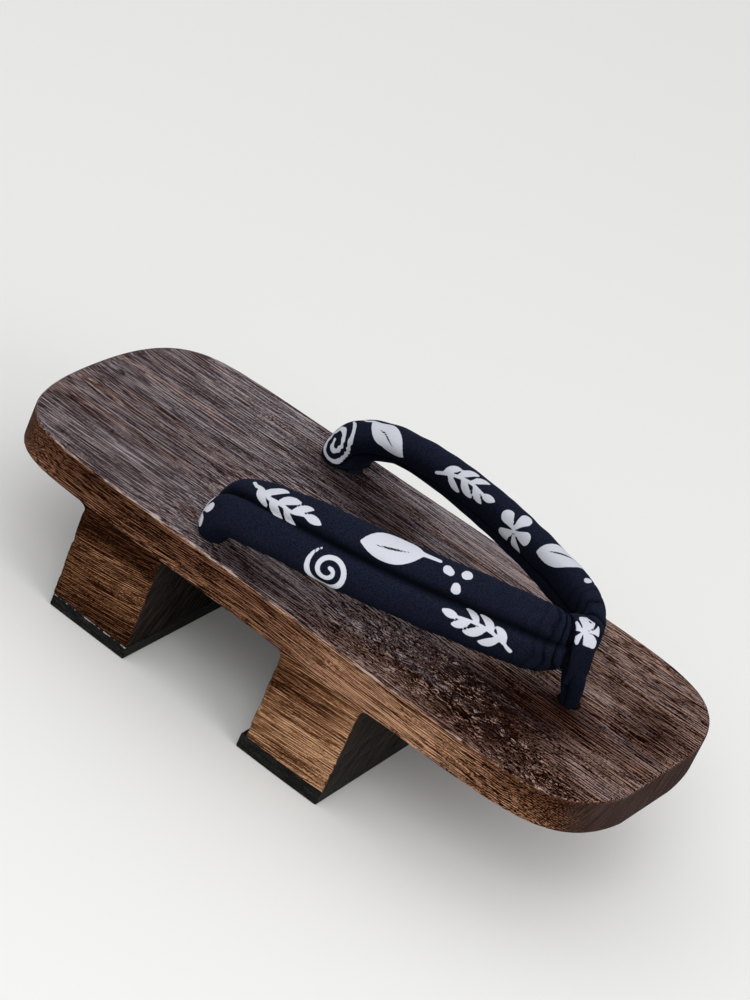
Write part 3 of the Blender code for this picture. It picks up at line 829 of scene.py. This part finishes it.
def tread_rubber(name, glue):
    """Cut rubber sheet: black, matt, with faint drag marks of the knife and dried glue near its top."""
    material, add = new_material(name)
    place_mm = add("VectorMath", "SCALE", {0: add("TexCoord").outputs["Object"], "Scale": 1 / MM})
    drag = add("VectorMath", "MULTIPLY", (place_mm, (1 / 6, 1 / 6, 1 / 0.8)))
    drag = add("TexNoise", None, {"Vector": drag, "Scale": 1.0, "Detail": 3.0})
    grit = add("TexNoise", None, {"Vector": place_mm, "Scale": 1.6, "Detail": 2.0})
    dust = add("Math", "MULTIPLY", (drag, grit))
    colour = add("ValToRGB", {"stops": ((0.13, "#040404"), (0.25, "#111110"), (0.38, "#232322"))}, (dust,))
    # The glue that squeezed out lies in flecks near the top, on the right-hand side
    height_mm = add("SeparateXYZ", None, (place_mm,)).outputs[2]
    near_top = add("MapRange", None, (height_mm, 3.2, 4.3, 0.0, glue))
    facing = add("SeparateXYZ", None, (add("NewGeometry").outputs["True Normal"],))
    on_side = add("Math", "LESS_THAN", (facing, -0.8))
    smear = add("TexNoise", None, {"Vector": place_mm, "Scale": 0.50, "Detail": 4.0})
    for limit in (on_side, near_top):
        smear = add("Math", "MULTIPLY", (smear, limit))
    glued = add("MapRange", None, (smear, 0.56, 0.68))
    dried = (*linear(DRIED_GLUE), 1)
    colour = add("Mix", {"data_type": "RGBA"}, {0: glued, 6: colour, 7: dried}).outputs[2]
    bump = add("Bump", None, {"Strength": 0.4, "Distance": 0.0002, "Height": dust})
    shader = add("BsdfPrincipled", None, {
        "Base Color": colour, "Roughness": 0.62, "IOR": 1.52, "Specular IOR Level": 0.08, "Normal": bump})
    add("OutputMaterial", None, (shader,))
    return material


class GETA_OT_treads(bpy.types.Operator):
    """Gives the two treads their black rubber"""
    bl_idname = "geta.make_treads"
    bl_label = "Treads"

    def execute(self, context):
        for name, glue in GLUE.items():
            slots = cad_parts[name].data.materials
            slots.clear()
            slots.append(tread_rubber(name + "_rubber", glue))
        return {"FINISHED"}


# Cloth

def roll_section(half_wide, half_thick, groove, drift):
    """A padded section of two rolls side by side, with a seam groove along each face, deeper outside."""
    turns = circle(ARM_SIDES)
    across = np.cos(turns)
    depth = np.where(np.sin(turns) >= 0, groove, groove * INNER_GROOVE)
    pinch = 1 - depth ** GROOVE_DEEPEN * np.exp(-(np.abs(across - drift) / GROOVE_SPREAD) ** GROOVE_POWER)
    out = np.sign(np.sin(turns)) * np.abs(np.sin(turns)) ** ROLL_BULGE * pinch
    return np.column_stack((half_wide * across, half_thick * out))


def arm_frames(table, hole, inward):
    """Centre, wide axis, thin axis and sizes of each section of an arm, from the knot up to the toe.

    Returns them with the number of those that come before the arm's own rows.
    """
    x, y, _, turn, lean, wide, thick, _ = table[0]
    rows = [(*hole, RECESS_TOP - drop, turn, 0, r, r, 0) for drop, r in KNOT_ROWS]
    rows += [(*hole, z, turn, 0, TAIL_RADIUS, TAIL_RADIUS, 0) for z in (RECESS_TOP + TAIL_RISE, HEIGHT)]
    rows += [(x, y, HEIGHT + rise, turn, lean, share * wide, share * thick, 0) for rise, share in FOOT_ROWS]
    arm = smooth_rows(table, ARM_STEPS)
    paths = np.vstack((np.tile((0, 0, 1), (len(rows), 1)), np.gradient(arm[:, :3], axis=0)))
    result = []
    for row, path in zip(np.vstack((rows, arm)), paths):
        ahead = Vector(path).normalized()
        turn, lean = radians(row[3]), radians(row[4])
        wide = Vector((inward * cos(turn) * cos(lean), sin(turn) * cos(lean), sin(lean)))
        wide = (wide - wide.dot(ahead) * ahead).normalized()
        result.append((np.array(row[:3]), np.array(wide), np.array(ahead.cross(wide) * inward), row[5:]))
    return result, len(rows)


# Spread of the painted shade along the seam groove, across the arm's width
SEAM_SHADE_SPREAD = 0.10
WRINKLE_SIZE = 0.0070
WRINKLE_DEPTH = 0.00040
# Gathers where the arms are drawn in under the thong: full over the last 12 mm, dying out over 7 mm before
PUCKER_DEPTH = 0.0014
# Painted shade in the gathers' valleys, on the scale of the seam's
PUCKER_SHADE = 1.0
PUCKER_PITCH_MM = 4.2
PUCKER_RUN_MM = 7.0
PUCKER_END_MM = 12.0
PUCKER_WANDER = 2.5
PUCKER_SHARPNESS = 0.45
# Depth of the groove at which the seam gets its full painted shade
SEAM_SHADE_FULL_GROOVE = 0.3


def make_arm_mesh(name, table, hole, inward, motifs):
    """One padded arm with soft wrinkles, and the cloth's own coordinates for its weave and print."""
    frames, foot = arm_frames(table, hole, inward)
    centres = np.array([f[0] for f in frames])
    along = run_along(centres) / MM
    along -= along[foot]
    rings, seam = [], []
    across = np.cos(circle(ARM_SIDES))
    for (centre, wide, thin, sizes), run in zip(frames, along):
        drift = GROOVE_DRIFT * np.exp(-max(run, 0) / GROOVE_DRIFT_RUN_MM)
        section = roll_section(*sizes, drift)
        # Painted shade along the seam groove, full where the groove is deep
        seam.append(min(1, sizes[2] / SEAM_SHADE_FULL_GROOVE) * np.exp(-((across - drift) / SEAM_SHADE_SPREAD) ** 2))
        rings.append(centre + np.outer(section[:, 0], wide) + np.outer(section[:, 1], thin))
    rings = np.array(rings)
    away = rings - centres[:, None]
    length = np.linalg.norm(away, axis=2, keepdims=True)
    lump = np.array([[noise.noise(Vector(p) / WRINKLE_SIZE) for p in ring] for ring in rings])[..., None]
    nearness = np.exp(-np.maximum(along[-1] - PUCKER_END_MM - along, 0) / PUCKER_RUN_MM)[:, None, None]
    wave = np.sin(pi * along[:, None, None] / PUCKER_PITCH_MM + PUCKER_WANDER * lump)
    crease = nearness * np.exp(-(wave / PUCKER_SHARPNESS) ** 2)
    # The gathers' valleys get painted shade too
    seam = np.clip(np.array(seam) + PUCKER_SHADE * crease[..., 0], 0, 1)
    rise = WRINKLE_DEPTH * lump - PUCKER_DEPTH * crease
    rings[foot:] += (away / np.maximum(length, 1e-9) * rise)[foot:]
    edge = np.linalg.norm(np.diff(rings, axis=1, append=rings[:, :1]), axis=2) / MM
    around = np.concatenate((np.zeros((len(rings), 1)), np.cumsum(edge, axis=1)[:, :-1]), axis=1)
    girth = edge.sum(1, keepdims=True)
    quarter = ARM_SIDES // 4
    around = (around - around[:, quarter:quarter + 1] + girth / 2) % girth - girth / 2
    built = bmesh.new()
    lay_rings(built, rings)
    mesh = finish_mesh(name, built)
    store_cloth(mesh, cloth_places(along[:, None], around), motifs, seam)
    return mesh


def cloth_places(along, around):
    """The cloth's own coordinates in mm, from how far along and around each point of its rings lies."""
    return np.stack(np.broadcast_arrays(along, around, 0.0), 2).reshape(-1, 3)


def store_cloth(mesh, cloth, motifs, seam):
    """Keeps on the mesh what its weave, print and painted crease shade are drawn from."""
    store(mesh, "cloth_mm", cloth, "FLOAT_VECTOR")
    store(mesh, "print_mm", print_distance(cloth, motifs))
    store(mesh, "seam", np.ravel(seam))


def motif_strokes(kind):
    """Strokes of a curl, leaf, dots, twig or blossom, each rows of x, y and half width in mm."""
    if kind == "curl":
        turns = np.linspace(0.6, 3.9 * pi, 44)
        reach = 0.5 + 0.42 * turns
        width = 0.42 + 0.024 * turns
        width[-6:] *= np.linspace(1.0, 0.3, 6)
        return [np.column_stack((reach * np.cos(turns), reach * np.sin(turns), width))]
    if kind == "leaf":
        t = np.linspace(-1, 1, 13)
        bow = 2.2 * (1 - t ** 2)
        return [np.column_stack((5.2 * t, 0.69 * bow, 0.30 + 1.12 * (1 - t ** 2))),
                np.column_stack((5.2 * t, -0.69 * bow, 0.30 + 0.84 * (1 - t ** 2))),
                np.array([(-5.0, 0, 0.40), (-8.2, -0.6, 0.26)])]
    if kind == "dots":
        return [np.array([(r * cos(a), r * sin(a), w) for r, w in ((2.2, 1.0), (2.9, 1.2))])
                for a in (0.3, 2.4, 4.5)]
    if kind == "twig":
        t = np.linspace(0, 1, 9)
        strokes = [np.column_stack((-9 + 15 * t, 1.4 * np.sin(pi * t), 0.42 - 0.12 * t))]
        for start, side, size in ((-6.8, 1, 0.85), (-5.2, -1, 0.9), (-2.9, 1, 0.95), (-1.3, -1, 0.95),
                                  (1.0, 1, 0.85), (2.6, -1, 0.8), (5.8, 0, 0.85)):
            foot = 1.4 * sin(pi * (start + 9) / 15)
            spread = side * (3.3 * t + 0.7 * np.sin(pi * t)) - 0.3 * t
            strokes.append(np.column_stack((
                start + 4.3 * size * t, foot + size * spread, 0.20 + 0.92 * size * np.sin(pi * t ** 0.85))))
        return strokes
    petals = [np.array([(r * cos(a), r * sin(a), w) for r, w in ((1.0, 0.45), (3.5, 1.55))])
              for a in np.arange(5) * 2 * pi / 5]
    return petals + [np.array([(0, 0, 0.5), (0.1, 0, 0.5)])]


def print_distance(cloth, motifs):
    """Distance in mm from each point of the cloth to the edge of the print, less than nothing inside it."""
    result = np.full(len(cloth), PRINT_FAR_MM)
    for kind, along, around, turn, scale in motifs:
        dx, dy = cloth[:, 0] - along, cloth[:, 1] - around
        near = np.hypot(dx, dy) < MOTIF_REACH_MM * scale
        c, s = cos(radians(turn)), sin(radians(turn))
        x = (dx[near] * c + dy[near] * s) / scale
        y = (-dx[near] * s + dy[near] * c) / scale
        best = np.full(near.sum(), PRINT_FAR_MM)
        for stroke in motif_strokes(kind):
            for (ax, ay, aw), (bx, by, bw) in zip(stroke, stroke[1:]):
                lx, ly = bx - ax, by - ay
                share = np.clip(((x - ax) * lx + (y - ay) * ly) / max(lx * lx + ly * ly, 1e-9), 0, 1)
                gap = np.hypot(x - ax - share * lx, y - ay - share * ly) - (aw + share * (bw - aw))
                best = np.minimum(best, gap)
        result[near] = np.minimum(result[near], best * scale)
    return result


def printed_cotton(settings):
    """Navy cotton in a plain weave with an opaque white screen print.

    The threads' fuzz scatters light at grazing angles, so the dark ground turns slightly blue-grey at the
    edges of the rolls. The print is thin, so the weave stands out in it too.
    """
    material, add = new_material("printed_plain_weave_cotton")
    cloth = add("Attribute", {"attribute_name": "cloth_mm"}).outputs["Vector"]
    ink, seam = (add("Attribute", {"attribute_name": key}).outputs["Fac"] for key in ("print_mm", "seam"))
    place_mm = add("VectorMath", "SCALE", {0: add("TexCoord").outputs["Object"], "Scale": 1 / MM})
    # Threads 0.35 mm apart in the real cloth are drawn 0.6 mm apart, the finest that shows
    turned = add("VectorMath", "SCALE", {0: cloth, "Scale": 2 * pi * MM / settings.thread_pitch})
    warp, weft = (add("Math", "SINE", (part,)) for part in add("SeparateXYZ", None, (turned,)).outputs[:2])
    weave = add("Math", "MULTIPLY", (warp, weft))
    fuzz = add("TexNoise", None, {"Vector": place_mm, "Scale": 3.0, "Detail": 2.0})
    speckle = add("MapRange", None, (fuzz, 0.34, 0.66))
    cloud = add("TexNoise", None, {"Vector": place_mm, "Scale": 0.09, "Detail": 1.0})
    darker, lighter = ((*[k * c for c in settings.ground], 1) for k in (0.45, 1.8))
    ground = add("Mix", {"data_type": "RGBA"}, {0: speckle, 6: darker, 7: lighter}).outputs[2]
    ground = add("Mix", {"data_type": "RGBA", "blend_type": "MULTIPLY"}, {
        0: cloud, 6: ground, 7: (0.82, 0.84, 0.9, 1)}).outputs[2]
    # Painted light: what faces up is lightened and what faces down darkened. Painted shade darkens the seam
    # between the rolls, the gathers and the stem
    upward = add("SeparateXYZ", None, (add("NewGeometry").outputs["Normal"],)).outputs[2]
    painted_facing_light = add("MapRange", None, (upward, -0.4, 0.95, 0.72, 1.75))
    crease_shading = add("Math", "MULTIPLY_ADD", (seam, -0.7, 1.0))
    ground = add("VectorMath", "SCALE", {0: ground, "Scale": add("Math", "MULTIPLY", (painted_facing_light, crease_shading))})
    # The print's edge is a little ragged from the fuzz
    ragged = add("Math", "MULTIPLY_ADD", (fuzz, 0.16, ink))
    covered = add("MapRange", None, (ragged, 0.20, 0.05))
    thin, thick = ((*[k * c for c in settings.print_colour], 1) for k in (0.82, 1.0))
    white = add("Mix", {"data_type": "RGBA"}, {0: fuzz, 6: thin, 7: thick}).outputs[2]
    colour = add("Mix", {"data_type": "RGBA"}, {0: covered, 6: ground, 7: white}).outputs[2]
    rise = add("Math", "MULTIPLY_ADD", (weave, 0.35, fuzz))
    bump = add("Bump", None, {"Strength": 0.5, "Distance": 0.00016, "Height": rise})
    shader = add("BsdfPrincipled", None, {
        "Base Color": colour, "Roughness": 0.92, "IOR": 1.5, "Specular IOR Level": 0.02, "Normal": bump,
        "Sheen Weight": 0.03, "Sheen Roughness": 0.5, "Sheen Tint": (*linear("#8f9ac0"), 1)})
    add("OutputMaterial", None, (shader,))
    return material


class GETA_OT_strap(bpy.types.Operator):
    """Builds the strap's two padded arms and the toe thong in printed cotton"""
    bl_idname = "geta.make_strap"
    bl_label = "Strap"

    def execute(self, context):
        cotton = printed_cotton(context.scene.geta.cloth)
        for name, table, hole, inward, motifs in (
                ("right_arm", RIGHT_ARM, RIGHT_HOLE, 1, RIGHT_PRINT),
                ("left_arm", LEFT_ARM, LEFT_HOLE, -1, LEFT_PRINT)):
            mesh = make_arm_mesh(name, table, hole, inward, motifs)
            arm = place(name, mesh, cotton, "navy_cotton", "strap")
        place("toe_thong_band", make_thong_mesh(), cotton, "navy_cotton", "toe_thong")
        return {"FINISHED"}


def loop_rings():
    """Rings of the thong's band around the joined arms."""
    rows = smooth_rows(LOOP_ROWS, LOOP_STEPS)
    wide = Vector((cos(LOOP_TURN), -sin(LOOP_TURN), 0))
    out = Vector((-sin(LOOP_TURN), -cos(LOOP_TURN), 0))
    centres = [Vector((*LOOP_CENTRE, z)) + out * ahead + wide * side for ahead, side, z, _ in rows]
    paths = np.gradient(np.array(centres), axis=0)
    turns = circle(LOOP_SIDES)
    across, outward = (np.sign(f(turns)) * np.abs(f(turns)) ** LOOP_EDGE_POWER for f in (np.cos, np.sin))
    rings = []
    for centre, path, half_wide in zip(centres, paths, rows[:, 3]):
        thin = wide.cross(Vector(path).normalized())
        ring = np.outer(half_wide * across, wide) + np.outer(LOOP_HALF_THICK * outward, thin)
        rings.append(ring + np.array(centre))
    return np.array(rings)


def stem_fold(turns):
    """How far into the lengthwise fold of the stem each angle around it lies, 0 to 1."""
    centre, spread, _ = STEM_FOLD
    return np.exp(-((turns - centre) / spread) ** 2)


def stem_rings():
    """Rings of the thong's stem down to its stopper knot."""
    knot = [(*TOE_HOLE, RECESS_TOP - drop, r, r) for drop, r in reversed(KNOT_ROWS)]
    rows = np.vstack((smooth_rows(STEM_ROWS, STEM_STEPS), knot))
    turns = circle(STEM_SIDES)
    shape = 1 - STEM_FOLD[2] * stem_fold(turns)
    return np.array([[(x + s * hx * cos(t), y + s * hy * sin(t), z) for t, s in zip(turns, shape)]
                     for x, y, z, hx, hy in rows])


# Far enough on the cloth's own map to lie beyond any motif
INNER_FACE_MM = 60.0
STEM_MM = 200.0


def make_thong_mesh():
    """The band over the arms and its stem, with the cloth's own coordinates."""
    built = bmesh.new()
    cloth, folds = [], []
    for rings, start_mm, folded in ((loop_rings(), 0.0, 0), (stem_rings(), STEM_MM, 1)):
        lay_rings(built, rings)
        centres = rings.mean(1)
        turns = circle(rings.shape[1])
        along = run_along(centres)[:, None] / MM + np.where(np.sin(turns) >= -0.01, 0.0, INNER_FACE_MM)
        around = np.linalg.norm(rings - centres[:, None], axis=2) / MM * np.cos(turns)
        cloth.append(cloth_places(along + start_mm, around))
        # Painted shade in the stem's fold, and the whole stem darkened at least by its darkening; none on
        # the band
        folds.append(np.tile(folded * np.maximum(stem_fold(turns), STEM_DARKENING), len(rings)))
    mesh = finish_mesh("toe_thong_band", built)
    store_cloth(mesh, np.concatenate(cloth), THONG_PRINT, np.concatenate(folds))
    return mesh


# Stage

CAMERA_PLACE = (-0.903815, -0.335552, 0.602866)
CAMERA_AZIMUTH = radians(-69.19)
CAMERA_ELEVATION = radians(28.758)
CAMERA_ROLL = radians(24.469)
CAMERA_LENS_MM = 121.25
SENSOR_MM = 36.0
CAMERA_REACH = (0.05, 50.0)

# Soft boxes: name, place, what they face, size and power in watts
LIGHTS = (
    ("key_softbox", (-1.15, -0.25, 1.1), (0.0, 0.0, 0.03), 1.0, 6.2),
    ("front_softbox", (-0.5, -1.3, 0.7), (0.0, 0.0, 0.03), 1.0, 5.2),
)
WORLD_LIGHT = 0.80


def add_camera():
    """The camera, turned to its azimuth, tilted to its elevation and rolled."""
    data = bpy.data.cameras.new("camera")
    data.lens = CAMERA_LENS_MM
    data.sensor_width = SENSOR_MM
    data.clip_start, data.clip_end = CAMERA_REACH
    camera = new_object("camera", data)
    camera.matrix_world = Matrix.Translation(CAMERA_PLACE)
    for angle, axis in ((CAMERA_AZIMUTH, "Z"), (pi / 2 - CAMERA_ELEVATION, "X"), (CAMERA_ROLL, "Z")):
        camera.matrix_world @= Matrix.Rotation(angle, 4, axis)
    bpy.context.scene.camera = camera


def add_lights():
    """The soft boxes, and an even white world."""
    for name, where, target, size, power in LIGHTS:
        data = bpy.data.lights.new(name, "AREA")
        data.shape = "DISK"
        data.size = size
        data.energy = power
        lamp = new_object(name, data)
        lamp.location = where
        lamp.rotation_euler = (Vector(target) - Vector(where)).to_track_quat("-Z", "Y").to_euler()
    world = bpy.data.worlds.new("studio")
    world.use_nodes = True
    background = world.node_tree.nodes["Background"].inputs
    background["Color"].default_value = (1.0, 1.0, 1.0, 1.0)
    background["Strength"].default_value = WORLD_LIGHT
    bpy.context.scene.world = world


def add_floor(settings):
    """Matt pale studio paper."""
    material, add = new_material("matt_studio_paper")
    shader = add("BsdfPrincipled", None, {
        "Base Color": (*settings.floor_colour, 1), "Roughness": 0.9, "Specular IOR Level": 0.1})
    add("OutputMaterial", None, (shader,))
    built = bmesh.new()
    bmesh.ops.create_grid(built, x_segments=1, y_segments=1, size=settings.floor_size / 2)
    mesh = bpy.data.meshes.new("floor")
    built.to_mesh(mesh)
    built.free()
    mesh.materials.append(material)
    new_object("floor", mesh)


class GETA_OT_stage(bpy.types.Operator):
    """Adds the pale floor, the soft lights and the camera"""
    bl_idname = "geta.make_stage"
    bl_label = "Stage"

    def execute(self, context):
        context.scene.view_settings.view_transform = "Standard"
        add_camera()
        add_lights()
        add_floor(context.scene.geta.stage)
        return {"FINISHED"}


class GETA_PT_pieces(bpy.types.Panel):
    """Lists the pieces and what can be changed in them"""
    bl_idname = "GETA_PT_pieces"
    bl_label = "Geta"
    bl_space_type = "VIEW_3D"
    bl_region_type = "UI"
    bl_category = "Geta"

    def draw(self, context):
        for operator in OPERATORS:
            self.layout.operator(operator.bl_idname)
        geta = context.scene.geta
        for settings in (geta.wood, geta.cloth, geta.stage):
            box = self.layout.box()
            for key in settings.__annotations__:
                box.prop(settings, key)


OPERATORS = (GETA_OT_stage, GETA_OT_deck, GETA_OT_teeth, GETA_OT_treads, GETA_OT_strap)
CLASSES = (GetaWoodSettings, GetaClothSettings, GetaStageSettings, GetaSettings, *OPERATORS, GETA_PT_pieces)


def register():
    for cls in CLASSES:
        bpy.utils.register_class(cls)
    bpy.types.Scene.geta = PointerProperty(type=GetaSettings)


def unregister():
    del bpy.types.Scene.geta
    for cls in reversed(CLASSES):
        bpy.utils.unregister_class(cls)


def main():
    register()
    bpy.ops.geta.make_stage()
    bpy.ops.geta.make_deck()
    bpy.ops.geta.make_teeth()
    bpy.ops.geta.make_treads()
    bpy.ops.geta.make_strap()


if __name__ == "__main__":
    main()
